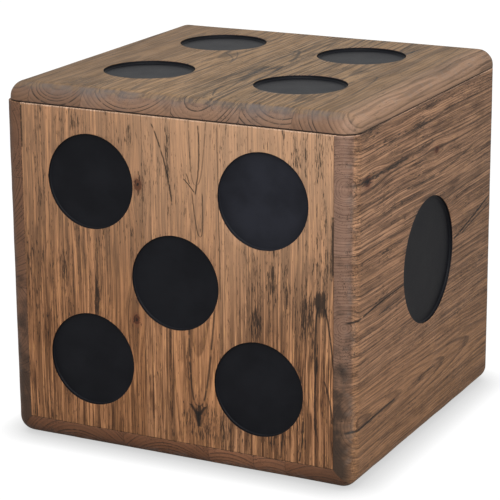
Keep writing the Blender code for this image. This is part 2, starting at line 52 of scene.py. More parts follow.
# Shapes, metres
EDGE_RADIUS = 0.018          # the box's round edges, as in the CAD
EDGE_SEGMENTS = 12
ARRIS = 0.0005               # worn corner of a board
GRID = 0.012                 # spacing of the cuts that let a board's faces wave
WAVE = 0.00045               # how far a hand-sanded face waves
FLAT_NOISE = 0.07            # length of those waves
EDGE_WEAR = 0.0012           # how far a round edge is worn
WORN_NOISE = 0.022           # length of the dips along a worn edge
PIP_SEGMENTS = 120
PIP_LIP = 0.0006             # rounding around a pip's mouth
PIP_COVE = 0.0016            # rounding where its wall meets its floor
PIP_OVERCUT = 0.0012         # how far a pip's cutter stands out of the board
SHALLOWEST_PIP = 0.002
DEEPEST_PIP = 0.008
FIT = 0.0003                 # clearance around a hinge leaf in its pocket
POCKET_OVERCUT = 0.01        # how far a pocket's cutter stands out behind the box
MITRE_GAP = 0.0001

# Edges that turn more than this are rounded, and more than that are shaded as sharp
HARD_EDGE = math.radians(50)
SMOOTH_ANGLE = math.radians(35)

# Open cracks, millimetres
CRACK_STRENGTH = 0.9         # a drawn line this dark is also an open crack
CRACK_STATIONS = 12
CRACK_HALF_WIDTH = 0.36      # a share of the drawn line's width
CRACK_DEPTH = 0.7
CRACK_OVERCUT = 0.6          # how far the cutter stands out of the board


# ---- Shader graphs written as formulas

def arithmetic(operation, swapped=False):
    """A method of Value that adds one math node."""
    def method(self, other):
        pair = (other, self) if swapped else (self, other)
        return self.graph.math(operation, *pair)
    return method


class Value:
    """A socket or a number in a shader graph. Arithmetic on it adds math nodes."""

    def __init__(self, graph, source):
        self.graph = graph
        self.source = source

    def __abs__(self):
        return self.graph.math("ABSOLUTE", self)

    __add__ = arithmetic("ADD")
    __radd__ = arithmetic("ADD", swapped=True)
    __sub__ = arithmetic("SUBTRACT")
    __rsub__ = arithmetic("SUBTRACT", swapped=True)
    __mul__ = arithmetic("MULTIPLY")
    __rmul__ = arithmetic("MULTIPLY", swapped=True)
    __truediv__ = arithmetic("DIVIDE")


class Graph:
    """Adds nodes to one material."""

    def __init__(self, name):
        self.material = bpy.data.materials.new(name)
        self.material.use_nodes = True
        self.nodes = self.material.node_tree.nodes
        self.links = self.material.node_tree.links
        self.shader = self.nodes["Principled BSDF"]

    def put(self, socket, value):
        if isinstance(value, Value):
            value = value.source
        if isinstance(value, bpy.types.NodeSocket):
            self.links.new(value, socket)
        elif isinstance(value, tuple) and len(socket.default_value) == 4:
            socket.default_value = (*value, 1.0)
        else:
            socket.default_value = value

    def math(self, operation, *values):
        node = self.nodes.new("ShaderNodeMath")
        node.operation = operation
        for socket, value in zip(node.inputs, values):
            self.put(socket, value)
        return Value(self, node.outputs[0])

    def sqrt(self, value):
        return self.math("SQRT", value)

    def largest(self, *values):
        """The largest of some values, any of which may be None."""
        known = [value for value in values if value is not None]
        result = known[0]
        for value in known[1:]:
            result = self.math("MAXIMUM", result, value)
        return result

    def smooth(self, value, low, high):
        """0 below low, 1 above high, and smooth between. High may be less than low."""
        node = self.nodes.new("ShaderNodeMapRange")
        node.interpolation_type = "SMOOTHSTEP"
        self.put(node.inputs["Value"], value)
        self.put(node.inputs["From Min"], low)
        self.put(node.inputs["From Max"], high)
        return Value(self, node.outputs[0])

    def coordinates(self, kind):
        """The three parts of a texture coordinate, such as Object or Normal."""
        source = self.nodes.new("ShaderNodeTexCoord")
        split = self.nodes.new("ShaderNodeSeparateXYZ")
        self.links.new(source.outputs[kind], split.inputs[0])
        return [Value(self, output) for output in split.outputs]

    def position(self):
        """Object coordinates in millimetres, which are the row frame's."""
        return [part * 1000.0 for part in self.coordinates("Object")]

    def vector(self, x, y, z):
        node = self.nodes.new("ShaderNodeCombineXYZ")
        for socket, value in zip(node.inputs, (x, y, z)):
            self.put(socket, value)
        return node.outputs[0]

    def noise(self, x, y, z, detail=2.0, roughness=0.5):
        """Noise about 0.5, with features about one unit wide."""
        node = self.nodes.new("ShaderNodeTexNoise")
        node.inputs["Scale"].default_value = 1.0
        node.inputs["Detail"].default_value = detail
        node.inputs["Roughness"].default_value = roughness
        self.links.new(self.vector(x, y, z), node.inputs["Vector"])
        return Value(self, node.outputs["Fac"])

    def random(self, value):
        node = self.nodes.new("ShaderNodeTexWhiteNoise")
        node.noise_dimensions = "1D"
        self.put(node.inputs["W"], value)
        return Value(self, node.outputs["Value"])

    def mix(self, amount, first, second, kind="MIX"):
        """Colours blended by an amount, which is kept within 0 and 1."""
        node = self.nodes.new("ShaderNodeMix")
        node.data_type = "RGBA"
        node.blend_type = kind
        self.put(node.inputs["Factor"], amount)
        self.put(node.inputs[6], first)
        self.put(node.inputs[7], second)
        return Value(self, node.outputs[2])

    def steps(self, value, edges, levels):
        """Level k between edge k-1 and edge k, for levels that are three numbers each."""
        total = levels[0]
        for edge, before, after in zip(edges, levels, levels[1:]):
            node = self.nodes.new("ShaderNodeVectorMath")
            node.operation = "MULTIPLY_ADD"
            self.put(node.inputs[0], self.math("GREATER_THAN", value, edge))
            node.inputs[1].default_value = [b - a for a, b in zip(before, after)]
            self.put(node.inputs[2], total)
            total = node.outputs[0]
        split = self.nodes.new("ShaderNodeSeparateXYZ")
        self.put(split.inputs[0], total)
        return [Value(self, output) for output in split.outputs]

    def finish(self, colour, roughness, height=None, relief=0.1 * MM, metallic=0.0, specular=0.5):
        self.put(self.shader.inputs["Base Color"], colour)
        self.put(self.shader.inputs["Roughness"], roughness)
        self.shader.inputs["Metallic"].default_value = metallic
        self.shader.inputs["Specular IOR Level"].default_value = specular
        if height is not None:
            bump = self.nodes.new("ShaderNodeBump")
            bump.inputs["Distance"].default_value = relief
            bump.inputs["Strength"].default_value = 1.0
            self.put(bump.inputs["Height"], height)
            self.links.new(bump.outputs[0], self.shader.inputs["Normal"])
        return self.material


# ---- Wood

@dataclass
class Board:
    """What one board's wood looks like, in millimetres.

    along, across: the row axes of the grain and across it. face: the place of the outer face on the
    third axis and the sign of its outward normal. light, dark: the wood between and in the grain.
    staves: (far edge across, tone, warmth, pores, heart offset, heart depth, tilt) from low to high.
    lines: dark lines (along start, along end, across start, across end, bow, width, strength).
    arches: rounded grain tips (tip along, tip across, length, half spread, lean, width, strength).
    smudges: patches of black dashes (along, across, half length, half width, strength).
    knots: (along, across, radius).
    fade: a painted sheen of light, paler upward (low, high, sheen colour, share at the low side, share at the
    high side).
    washes: soft changes of tone along one row axis (axis, start, end, colour, share), some of them painted
    light or shade.
    edge_dirt: grey patches on the round edge where end grain begins (across, half width, strength).
    seam: the height of a joint that ends at the board's lower edge, along which a dark line of painted shadow
    is drawn.
    """

    name: str
    along: int
    across: int
    face: tuple
    light: tuple
    dark: tuple
    staves: list
    lines: tuple = ()
    arches: tuple = ()
    smudges: tuple = ()
    knots: tuple = ()
    washes: tuple = ()
    edge_dirt: tuple = ()
    fade: tuple = None
    seam: float = None
    seed: float = 0.0
    ring: float = 7.0            # width of a growth ring
    ring_spread: float = 3.2     # how uneven the rings are
    ring_dark: float = 0.80
    wander: float = 1.6          # how far the grain wanders
    streaks: float = 1.0
    grain: float = 4.2           # spacing of the thin grain lines
    grain_dark: float = 0.66
    joint_dark: float = 0.45     # the glue joints between staves
    end_darkening: float = 0.75           # how much the end grain darkens in patches towards the bottom
    end_colour: tuple = (0.110, 0.068, 0.045)
    end_fading: float = 0.0      # how far the rings fade on end grain
    end_lines: float = 0.0       # how far the grain lines show there


# Black wax in pores and cracks; also the colour of painted shadow along joints
BLACK_WAX_AND_SHADOW = (0.010, 0.0085, 0.0075)
KNOT_BROWN = (0.060, 0.018, 0.009)
# A dark brown for end grain towards the bottom and for the bottom board's ends
DARK_BROWN = (0.030, 0.021, 0.016)
# Grey for worn round edges, also standing in for a painted sheen on them
DUST_AND_SHEEN = (0.200, 0.178, 0.158)
GREY_DIRT = (0.125, 0.103, 0.096)


def shade(colour, factor):
    """The colour made darker or lighter."""
    return tuple(min(1.0, c * factor) for c in colour)


# A knot's rings, from its halo to its black heart: where each starts and is full, in radii, share, colour
KNOT_RINGS = (
    (2.2, 0.6, 0.45, shade(KNOT_BROWN, 2.2)),
    (1.1, 0.8, 0.75, KNOT_BROWN),
    (0.45, 0.15, 0.9, BLACK_WAX_AND_SHADOW),
)


class Wood:
    """Builds one board's material. v runs along the grain, u across it and d into the board."""

    def __init__(self, board):
        self.board = board
        self.g = Graph(f"wood_{board.name}")
        self.position = self.g.position()
        third = 3 - board.along - board.across
        self.v = self.position[board.along]
        self.u = self.position[board.across]
        self.d = (self.position[third] - board.face[0]) * -board.face[1]
        self.normal = self.g.coordinates("Normal")

    def bend_grain(self):
        """The place across the grain once it wanders and parts around the knots."""
        g, board = self.g, self.board
        slow = g.noise(self.u / 90.0 + board.seed, self.v / 150.0, self.d / 60.0, detail=1.0) - 0.5
        small = g.noise(self.u / 15.0, self.v / 34.0 + board.seed, self.d / 20.0, detail=1.0) - 0.5
        bent = self.u + slow * (4.0 * board.wander) + small * (0.4 * board.wander)
        for along, across, radius in board.knots:
            from_u = self.u - across
            from_v = self.v - along
            away = from_u * from_u + from_v * from_v * 0.12
            bent = bent - from_u * g.smooth(away, (4.0 * radius) ** 2, 0.0) * 0.55
        return bent

    def streak(self, width, length, low, high, shift=0.0, detail=2.0, roughness=0.5, gate=0.0):
        """0 to 1: streaks along the grain, of about this width and length."""
        g = self.g
        value = g.noise(
            self.bent / width + shift, self.v / length + shift, self.d / width + self.board.seed,
            detail=detail, roughness=roughness,
        )
        return g.smooth(value + gate, low, high)

    def grain_lines(self, spacing, length, thickness, shift=0.0):
        """0 to 1: thin unbroken lines along the grain, at uneven distances of about this spacing."""
        g = self.g
        field = g.noise(
            self.bent / spacing + shift, self.v / length + shift, self.d / 45.0 + self.board.seed, detail=2.0
        )
        return g.smooth(abs(field - 0.5), thickness, thickness * 0.35)

    def rings(self, place, edges):
        """Soft late wood and the thin line that ends it, about each stave's heart."""
        g, board = self.g, self.board
        heart_u, heart_d, tilt = g.steps(place, edges, [stave[4:7] for stave in board.staves])
        key = heart_u * 0.37 + heart_d * 0.11 + board.seed
        quick = g.noise(self.u / 14.0 + key, self.v / 60.0, self.d / 14.0, detail=2.0) - 0.5
        ring_u = self.bent - heart_u + quick * 1.2
        ring_d = self.d + heart_d + tilt * self.v
        radius = g.sqrt(ring_u * ring_u + ring_d * ring_d + 0.5)
        spread = g.noise(radius / 19.0 + key, 0.5, 0.5, detail=1.0) * board.ring_spread
        count = radius / board.ring + spread
        part = g.math("FRACT", count)
        weight = g.random(g.math("FLOOR", count) + key)
        late = g.smooth(part, 0.20, 0.92) * g.smooth(part, 1.0, 0.94)
        line = g.smooth(part, 0.66, 0.82) * g.smooth(part, 1.0, 0.94) * g.smooth(weight, 0.12, 0.72)
        fading = g.noise(self.bent / 6.0, self.v / 70.0 + board.seed, self.d / 6.0, detail=2.0)
        line = line * g.smooth(fading, 0.28, 0.52)
        return late, line

    def smudge_share(self):
        """0 to 1: how much the black dashes crowd together."""
        share = None
        for along, across, half_length, half_width, strength in self.board.smudges:
            a = (self.v - along) / half_length
            b = (self.u - across) / half_width
            patch = self.g.smooth(a * a + b * b, 1.3, 0.0) * strength
            share = self.g.largest(share, patch)
        return 0.0 if share is None else share

    def drawn_lines(self, place, edges):
        """The single lines, grain tips and glue joints."""
        g, board = self.g, self.board
        ragged = (g.noise(self.v / 5.0 + board.seed, self.u / 40.0, 7.7, detail=3.0) - 0.5) * 2.2
        broken = g.noise(self.v / 11.0 + board.seed, self.u / 30.0 + 9.2, 2.0, detail=2.0)
        drawn = None
        for start, end, across_start, across_end, bow, width, strength in board.lines:
            t = (self.v - start) / (end - start)
            middle = t * (1.0 - t) * (4.0 * bow) + t * (across_end - across_start) + across_start
            off = abs(self.u - middle + ragged * 0.5)
            within = g.smooth(t * (1.0 - t), 0.0, 0.03)
            line = g.smooth(off, width * 1.5, width * 0.2) * within * strength
            drawn = g.largest(drawn, line)
        for tip, across, length, spread, lean, width, strength in board.arches:
            t = (self.v - tip) / length
            half = g.math("POWER", g.largest(t, 0.0), 0.33) * spread
            off = abs(abs(self.u - across - t * lean + ragged * 0.35) - half)
            within = g.smooth(t, -0.03, 0.0) * g.smooth(t, 1.0, 0.85)
            line = g.smooth(off, width * 1.5, width * 0.2) * within * strength
            drawn = g.largest(drawn, line)
        for edge in edges:
            near = abs(place - edge + ragged * 0.1)
            line = g.smooth(near, 0.7, 0.15) * board.joint_dark
            drawn = g.largest(drawn, line)
        return 0.0 if drawn is None else drawn * g.smooth(broken, 0.26, 0.44)

    def end_share(self):
        """1 where the surface cuts across the grain."""
        return self.g.smooth(abs(self.normal[self.board.along]), 0.55, 0.95)

    def add_dirt_and_seam_shadow(self, colour, end, mottled):
        """Grey patches on the round edge above the end grain, and painted shadow: a dark line along the joint
        at the lower edge.
        """
        g, board = self.g, self.board
        turning = g.smooth(abs(self.normal[board.along]), 0.12, 0.48) * (1.0 - end * 0.75)
        for across, half_width, strength in board.edge_dirt:
            off = (self.u - across) / half_width
            patch = g.smooth(off * off, 1.2, 0.1) * (g.smooth(mottled, 0.36, 0.60) * 0.5 + 0.5)
            colour = g.mix(turning * patch * strength, colour, GREY_DIRT)
        # Painted shadow: the upright faces just above the joint turn near black
        if board.seam is not None:
            low = g.smooth(self.position[2], board.seam + 1.6, board.seam + 0.6)
            upright = g.smooth(abs(self.normal[2]), 0.95, 0.70)
            colour = g.mix(low * upright * 0.95, colour, BLACK_WAX_AND_SHADOW)
        return colour

    def mark_knots(self, colour):
        g, board = self.g, self.board
        for along, across, radius in board.knots:
            from_u = self.u - across
            from_v = self.v - along
            wobble = g.noise(self.u / 2.5 + board.seed, self.v / 2.5, self.d / 2.5) * radius
            reach = g.sqrt(from_u * from_u + from_v * from_v * 0.5) + wobble - radius * 0.5
            for outer, inner, share, tone in KNOT_RINGS:
                colour = g.mix(g.smooth(reach, radius * outer, radius * inner) * share, colour, tone)
        return colour

    def material(self):
        g, board = self.g, self.board
        light, dark = board.light, board.dark
        u, v, d = self.u, self.v, self.d

        # Staves: each has its own tone, warmth and share of open pores
        edges = [stave[0] for stave in board.staves[:-1]]
        sway = (g.noise(v / 60.0 + board.seed, 3.7, 1.1, detail=1.0) - 0.5) * 1.2
        place = u + sway
        tone, warmth, pores = g.steps(place, edges, [stave[1:4] for stave in board.staves])
        self.bent = self.bend_grain()

        end = self.end_share()
        mottled = g.noise(u / 17.0 + board.seed, v / 38.0, d / 17.0, detail=3.0)
        colour = g.mix(g.smooth(mottled, 0.38, 0.70), light, shade(light, 0.80))
        colour = g.mix(g.smooth(end, 0.0, 0.35) * 0.85, colour, board.end_colour)
        for axis, start, stop, wash, share in board.washes:
            colour = g.mix(g.smooth(self.position[axis], start, stop) * share, colour, wash)
        openness = pores * 1.2 + 0.4
        late, ring_line = self.rings(place, edges)
        colour = g.mix(late * 0.30, colour, dark)
        ring_share = (1.0 - end) * openness + end * (1.0 - board.end_fading)
        colour = g.mix(ring_line * ring_share * board.ring_dark, colour, shade(dark, 0.42))

        # Streaks, from broad bands to fine pores, that stop where the surface is end grain
        streaks = (1.0 - end) * openness * board.streaks
        bands = self.streak(6.5, 260.0, 0.42, 0.60, detail=3.0)
        colour = g.mix(bands * streaks * 0.36, colour, dark)
        flecks = self.streak(0.85, 18.0, 0.56, 0.68, shift=11.0)
        golden = tuple(c * factor for c, factor in zip(light, (1.42, 1.50, 1.20)))
        colour = g.mix(flecks * g.smooth(end, 0.4, 0.0) * board.streaks * 0.40, colour, golden)
        bundles = self.streak(6.0, 48.0, 0.50, 0.66, shift=21.0, detail=3.0)
        colour = g.mix(bundles * streaks * pores * 0.30, colour, shade(dark, 0.80))
        lines = self.streak(1.10, 130.0, 0.54, 0.60, shift=3.1, detail=3.0, gate=(bundles - 0.4) * 0.07)
        colour = g.mix(lines * streaks * (bundles * 0.30 + 0.22), colour, shade(dark, 0.50))
        thin = self.grain_lines(board.grain, 420.0, 0.10, shift=4.4)
        fading = self.streak(3.0, 90.0, 0.36, 0.54, shift=13.7) * (1.0 - end) * openness
        fading = fading + end * board.end_lines
        colour = g.mix(thin * fading * board.grain_dark, colour, shade(dark, 0.30))
        open_pores = pores * (bands * 0.9 + 0.55)
        hair = self.streak(0.70, 48.0, 0.51, 0.58, shift=7.7, gate=(open_pores - 0.5) * 0.10 + bundles * 0.04)
        colour = g.mix(hair * streaks * (bundles * 0.25 + 0.38), colour, shade(dark, 0.50))

        smudges = self.smudge_share()
        colour = g.mix(smudges * 0.22, colour, shade(dark, 0.60))
        warm = g.mix(warmth, (0.96, 1.0, 1.06), (1.06, 0.98, 0.88))
        colour = g.mix(1.0, colour, warm, kind="MULTIPLY")
        colour = g.mix(1.0, colour, g.vector(tone, tone, tone), kind="MULTIPLY")
        # The end grain darkens in patches, more towards the bottom
        darker_low = g.smooth(mottled + g.smooth(self.position[2], 270.0, 0.0) * 0.45, 0.55, 0.90)
        colour = g.mix(end * darker_low * board.end_darkening, colour, DARK_BROWN)
        # Painted sheen: the face turns paler and hazier upward, more on one side, standing in for light on
        # its upper part
        if board.fade is not None:
            low, high, sheen_colour, share_low, share_high = board.fade
            amount = g.smooth(u, -150.0, 70.0) * (share_high - share_low) + share_low
            colour = g.mix(g.smooth(v, low, high) * amount, colour, sheen_colour)
        colour = self.mark_knots(colour)

        # Black wax left in the pores
        patches = g.noise(u / 26.0 + board.seed, v / 55.0, d / 26.0, detail=2.0)
        gate = (open_pores - 0.5) * 0.14 + (patches - 0.58) * 0.30 + bundles * 0.035 + smudges * 0.14 - 0.01
        dashes = self.streak(0.80, 9.0, 0.60, 0.67, shift=1.3, detail=2.0, gate=gate)
        broad = self.streak(1.3, 19.0, 0.645, 0.72, shift=5.9, detail=4.0, roughness=0.68, gate=gate)
        colour = g.mix(g.largest(dashes * 0.78, broad * 0.85), colour, BLACK_WAX_AND_SHADOW)
        colour = g.mix(self.drawn_lines(place, edges), colour, BLACK_WAX_AND_SHADOW)

        # Wear and a painted sheen along the box's round edges, mixed in as one grey
        rub = g.noise(u / 9.0, v / 9.0 + board.seed, d / 9.0, detail=4.0)
        rubbed_and_sheen = edge_nearness(g, self.position) * g.smooth(rub, 0.46, 0.66)
        colour = g.mix(rubbed_and_sheen * 0.34, colour, DUST_AND_SHEEN)
        colour = self.add_dirt_and_seam_shadow(colour, end, mottled)

        # The relief has a short graph of its own, because a renderer works it out three times
        fine = g.noise(u / 0.75, v / 38.0, d / 0.75 + board.seed, detail=2.0)
        coarse = g.noise(u / 1.9, v / 95.0, d / 1.9 + board.seed, detail=3.0)
        dents = g.noise(u / 17.0 + board.seed, v / 38.0, d / 17.0, detail=3.0)
        height = dents * 0.5 - g.smooth(fine, 0.50, 0.66) * 0.3 - g.smooth(coarse, 0.52, 0.66) * 0.5
        roughness = hair * 0.08 + (mottled - 0.5) * 0.20 + 0.52
        return g.finish(colour, roughness, height, relief=0.16 * MM, specular=0.20)


def wood_material(board):
    return Wood(board).material()


def edge_nearness(g, position):
    """1 on the box's outer round edges and 0 on its faces, from the place alone."""
    low, high = whole_low, whole_high
    reaches = []
    for axis in range(3):
        middle = (low[axis] + high[axis]) * 500.0
        half = (high[axis] - low[axis]) * 500.0
        reaches.append(g.smooth(abs(position[axis] - middle), half - 14.0, half - 2.0))
    pairs = [reaches[a] * reaches[b] for a, b in ((0, 1), (0, 2), (1, 2))]
    return g.largest(*pairs)


# ---- Mesh helpers

def smooth(mesh):
    mesh.shade_smooth()
    mesh.set_sharp_from_angle(angle=SMOOTH_ANGLE)


def to_object(name, bm, materials):
    bmesh.ops.recalc_face_normals(bm, faces=bm.faces)
    mesh = bpy.data.meshes.new(name)
    bm.to_mesh(mesh)
    bm.free()
    item = bpy.data.objects.new(name, mesh)
    bpy.context.scene.collection.objects.link(item)
    for material in materials:
        mesh.materials.append(material)
    smooth(mesh)
    return item


def extent(points):
    """The low and high corners of the box around some points."""
    low = Vector([min(p[k] for p in points) for k in range(3)])
    high = Vector([max(p[k] for p in points) for k in range(3)])
    return low, high


def add_box(bm, low, high):
    low, high = Vector(low), Vector(high)
    place = Matrix.Translation((low + high) / 2) @ Matrix.Diagonal((*(high - low), 1.0))
    bmesh.ops.create_cube(bm, size=1.0, matrix=place)


def rounded_block(low, high, flat_end):
    """A block with round edges but for its flat end: +1 its top, -1 its bottom, 0 for sharp all over."""
    bm = bmesh.new()
    add_box(bm, low, high)
    if flat_end:
        flat_z = high[2] if flat_end > 0 else low[2]
        edges = [e for e in bm.edges if any(abs(v.co.z - flat_z) > 1e-6 for v in e.verts)]
        bmesh.ops.bevel(
            bm, geom=edges, offset=EDGE_RADIUS, segments=EDGE_SEGMENTS, profile=0.5, affect="EDGES",
            clamp_overlap=False,
        )
    return bm


def bisect(bm, point, normal, tolerance, clear=False):
    """Cuts every face along a plane, and drops what lies in front of it if asked to."""
    everything = [*bm.verts, *bm.edges, *bm.faces]
    return bmesh.ops.bisect_plane(
        bm, geom=everything, dist=tolerance, plane_co=point, plane_no=normal, clear_outer=clear
    )


def trim(bm, point, normal):
    """Cuts a convex solid at a plane and closes it, keeping the side behind the normal."""
    rim = bisect(bm, point, normal, 1e-7, clear=True)["geom_cut"]
    bmesh.ops.contextual_create(bm, geom=[e for e in rim if isinstance(e, bmesh.types.BMEdge)])


def soften(bm, width):
    """Rounds the arrises, the edges where two faces meet at a hard angle."""
    edges = [e for e in bm.edges if e.calc_face_angle(0.0) > HARD_EDGE]
    bmesh.ops.bevel(bm, geom=edges, offset=width, segments=3, profile=0.5, affect="EDGES", clamp_overlap=True)
    bmesh.ops.remove_doubles(bm, verts=bm.verts, dist=2e-6)


def slice_up(bm):
    """Cuts every face along a grid, so that it can wave."""
    for axis in (RIGHT, BACK, UP):
        places = [v.co.dot(axis) for v in bm.verts]
        low, high = min(places), max(places)
        count = int((high - low) / GRID)
        for k in range(1, count):
            bisect(bm, axis * (low + (high - low) * k / count), axis, 1e-6)


def wear(bm):
    """Moves the box's outer surface inward a little, more on its round edges, as one smooth field.

    The field depends on the place alone, so neighbouring boards move together and a thin arris moves whole.
    """
    middle = (whole_low + whole_high) / 2
    half = (whole_high - whole_low) / 2
    for v in bm.verts:
        flat = noise.noise(v.co / FLAT_NOISE)
        worn = noise.noise(v.co / WORN_NOISE)
        shares = []
        for axis in range(3):
            inside = half[axis] - abs(v.co[axis] - middle[axis])
            shares.append(max(0.0, 1.0 - inside / EDGE_RADIUS) ** 2)
        second = sorted(shares)[1]
        depth = WAVE * (0.5 + 0.5 * flat) + EDGE_WEAR * second * (1.0 + worn)
        for axis in range(3):
            inward = -1.0 if v.co[axis] > middle[axis] else 1.0
            v.co[axis] += inward * shares[axis] * depth


def lathe(bm, profile, place, segments, slots):
    """Turns (radius, height) points about Z into a closed solid. Each stretch has its own material slot."""
    rings = []
    for radius, height in profile:
        if radius < 1e-7:
            rings.append([bm.verts.new(place @ Vector((0, 0, height)))])
        else:
            ring = []
            for k in range(segments):
                angle = math.tau * k / segments
                point = Vector((radius * math.cos(angle), radius * math.sin(angle), height))
                ring.append(bm.verts.new(place @ point))
            rings.append(ring)
    for lower, upper, slot in zip(rings, rings[1:], slots):
        for k in range(segments):
            after = (k + 1) % segments
            corners = [lower[j % len(lower)] for j in (k, after)]
            corners += [upper[j % len(upper)] for j in (after, k)]
            face = bm.faces.new(list(dict.fromkeys(corners)))
            face.material_index = slot


def cut(item, tool):
    """Applies one Boolean cut and removes the tool."""
    modifier = item.modifiers.new("cut", "BOOLEAN")
    modifier.operation = "DIFFERENCE"
    modifier.solver = "EXACT"
    modifier.object = tool
    bpy.context.view_layer.update()
    mesh = bpy.data.meshes.new_from_object(item.evaluated_get(bpy.context.evaluated_depsgraph_get()))
    item.modifiers.remove(modifier)
    item.data = mesh
    bpy.data.objects.remove(tool)
    smooth(mesh)


# ---- Pips, read from the recesses of the CAD boards

def recesses(node, axis, outward):
    """Centre, radius and depth of each pip in the board face whose normal is this axis and sign."""
    bm = bmesh.new()
    bm.from_mesh(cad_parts[node].data)
    bmesh.ops.remove_doubles(bm, verts=bm.verts, dist=1e-6)
    normal = Vector([outward if k == axis else 0 for k in range(3)])
    face_place = max(v.co.dot(normal) for v in bm.verts)
    floors = []
    for face in bm.faces:
        depth = face_place - face.calc_center_median().dot(normal)
        if face.normal.dot(normal) > 0.99 and SHALLOWEST_PIP < depth < DEEPEST_PIP:
            floors.append(face)
    found = []
    left = set(floors)
    while left:
        group = {left.pop()}
        front = list(group)
        while front:
            for edge in front.pop().edges:
                for other in edge.link_faces:
                    if other in left:
                        left.remove(other)
                        group.add(other)
                        front.append(other)
        low, high = extent([v.co for face in group for v in face.verts])
        size = sorted(high - low)[1:]
        depth = face_place - low.dot(normal)
        found.append(((low + high) / 2 + normal * depth, sum(size) / 4, depth))
    bm.free()
    return sorted(found, key=lambda pip: tuple(round(c, 4) for c in pip[0]))


def pip_profile(radius, depth):
    """The shape to cut away, from its floor's middle, up its coved wall and out over its soft lip."""
    cove = [
        (radius - PIP_COVE + PIP_COVE * math.sin(a), -depth + PIP_COVE - PIP_COVE * math.cos(a))
        for a in (math.pi / 2 * k / 6 for k in range(7))
    ]
    lip = [
        (radius + PIP_LIP - PIP_LIP * math.cos(a), -PIP_LIP + PIP_LIP * math.sin(a))
        for a in (math.pi / 2 * k / 4 for k in range(4))
    ]
    flare = radius + PIP_LIP * 1.4
    floor = [(radius * share, -depth) for share in (0.25, 0.5, 0.75)]
    profile = [(0.0, -depth), *floor, *cove, *lip, (flare, PIP_OVERCUT), (0.0, PIP_OVERCUT)]
    painted = len(floor) + len(cove) + 1
    slots = [1] * painted + [0] * (len(profile) - 1 - painted)
    return profile, slots


def cut_pips(item, node, axis, outward):
    normal = Vector([outward if k == axis else 0 for k in range(3)])
    turn = UP.rotation_difference(normal).to_matrix().to_4x4()
    bm = bmesh.new()
    for centre, radius, depth in recesses(node, axis, outward):
        profile, slots = pip_profile(radius, depth)
        lathe(bm, profile, Matrix.Translation(centre) @ turn, PIP_SEGMENTS, slots)
    tool = to_object(f"{item.name}_pip_tool", bm, list(item.data.materials))
    cut(item, tool)


def cut_cracks(item, board):
    """Opens the board's strongest dark lines as grooves with a V section."""
    third = 3 - board.along - board.across
    face, outward = board.face
    bm = bmesh.new()
    for start, end, across_start, across_end, bow, width, strength in board.lines:
        if strength < CRACK_STRENGTH:
            continue
        rings = []
        for k in range(CRACK_STATIONS + 1):
            t = k / CRACK_STATIONS
            middle = across_start + (across_end - across_start) * t + 4.0 * bow * t * (1.0 - t)
            middle += 0.35 * noise.noise(Vector((t * 9.0, start, across_start)))
            openness = 0.15 + 0.85 * math.sin(math.pi * t) ** 0.5
            half = CRACK_HALF_WIDTH * width * openness
            deep = CRACK_DEPTH * openness
            ring = []
            mouth = 1.6 * half
            for side, rise in ((-mouth, CRACK_OVERCUT), (mouth, CRACK_OVERCUT), (0.0, -deep)):
                point = [0.0, 0.0, 0.0]
                point[board.along] = (start + (end - start) * t) * MM
                point[board.across] = (middle + side) * MM
                point[third] = (face + outward * rise) * MM
                ring.append(bm.verts.new(point))
            rings.append(ring)
        for near, far in zip(rings, rings[1:]):
            for a in range(3):
                b = (a + 1) % 3
                bm.faces.new((near[a], near[b], far[b], far[a]))
        bm.faces.new(rings[0])
        bm.faces.new(rings[-1])
    if bm.faces:
        cut(item, to_object(f"{item.name}_crack_tool", bm, list(item.data.materials)))
    else:
        bm.free()


# ---- The whole box's own walls, without the hinge barrels

left_low, left_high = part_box("left_side_panel")
right_low, right_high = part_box("right_side_panel")
front_low, front_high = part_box("front_panel")
back_low, back_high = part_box("back_panel")
bottom_low, bottom_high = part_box("bottom_board")
lid_low, lid_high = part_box("lid_panel")
whole_low = Vector((left_low.x, front_low.y, bottom_low.z))
whole_high = Vector((right_high.x, back_high.y, lid_high.z))


# ---- Boards' woods. Staves: (far edge, tone, warmth, pores, heart offset, heart depth, tilt).

LID_LIGHT = (0.302, 0.178, 0.083)
LID_DARK = (0.088, 0.052, 0.028)
FRONT_LIGHT = (0.512, 0.254, 0.124)
FRONT_DARK = (0.135, 0.056, 0.025)
SIDE_LIGHT = (0.405, 0.220, 0.124)
SIDE_DARK = (0.092, 0.048, 0.030)

lid_top = lid_high.z * 1000
front_face = front_low.y * 1000
back_face = back_high.y * 1000
right_face = right_high.x * 1000
panel_top = front_high.z * 1000
side_top = right_high.z * 1000
left_face = left_low.x * 1000

panel_look = {
    "along": 2, "across": 0, "light": FRONT_LIGHT, "dark": FRONT_DARK,
    "ring_dark": 0.64, "grain": 4.6, "grain_dark": 0.54,
}
side_look = {
    "along": 1, "across": 2, "light": SIDE_LIGHT, "dark": SIDE_DARK,
    "wander": 2.2, "ring_dark": 0.66, "streaks": 0.78, "grain_dark": 0.46,
}

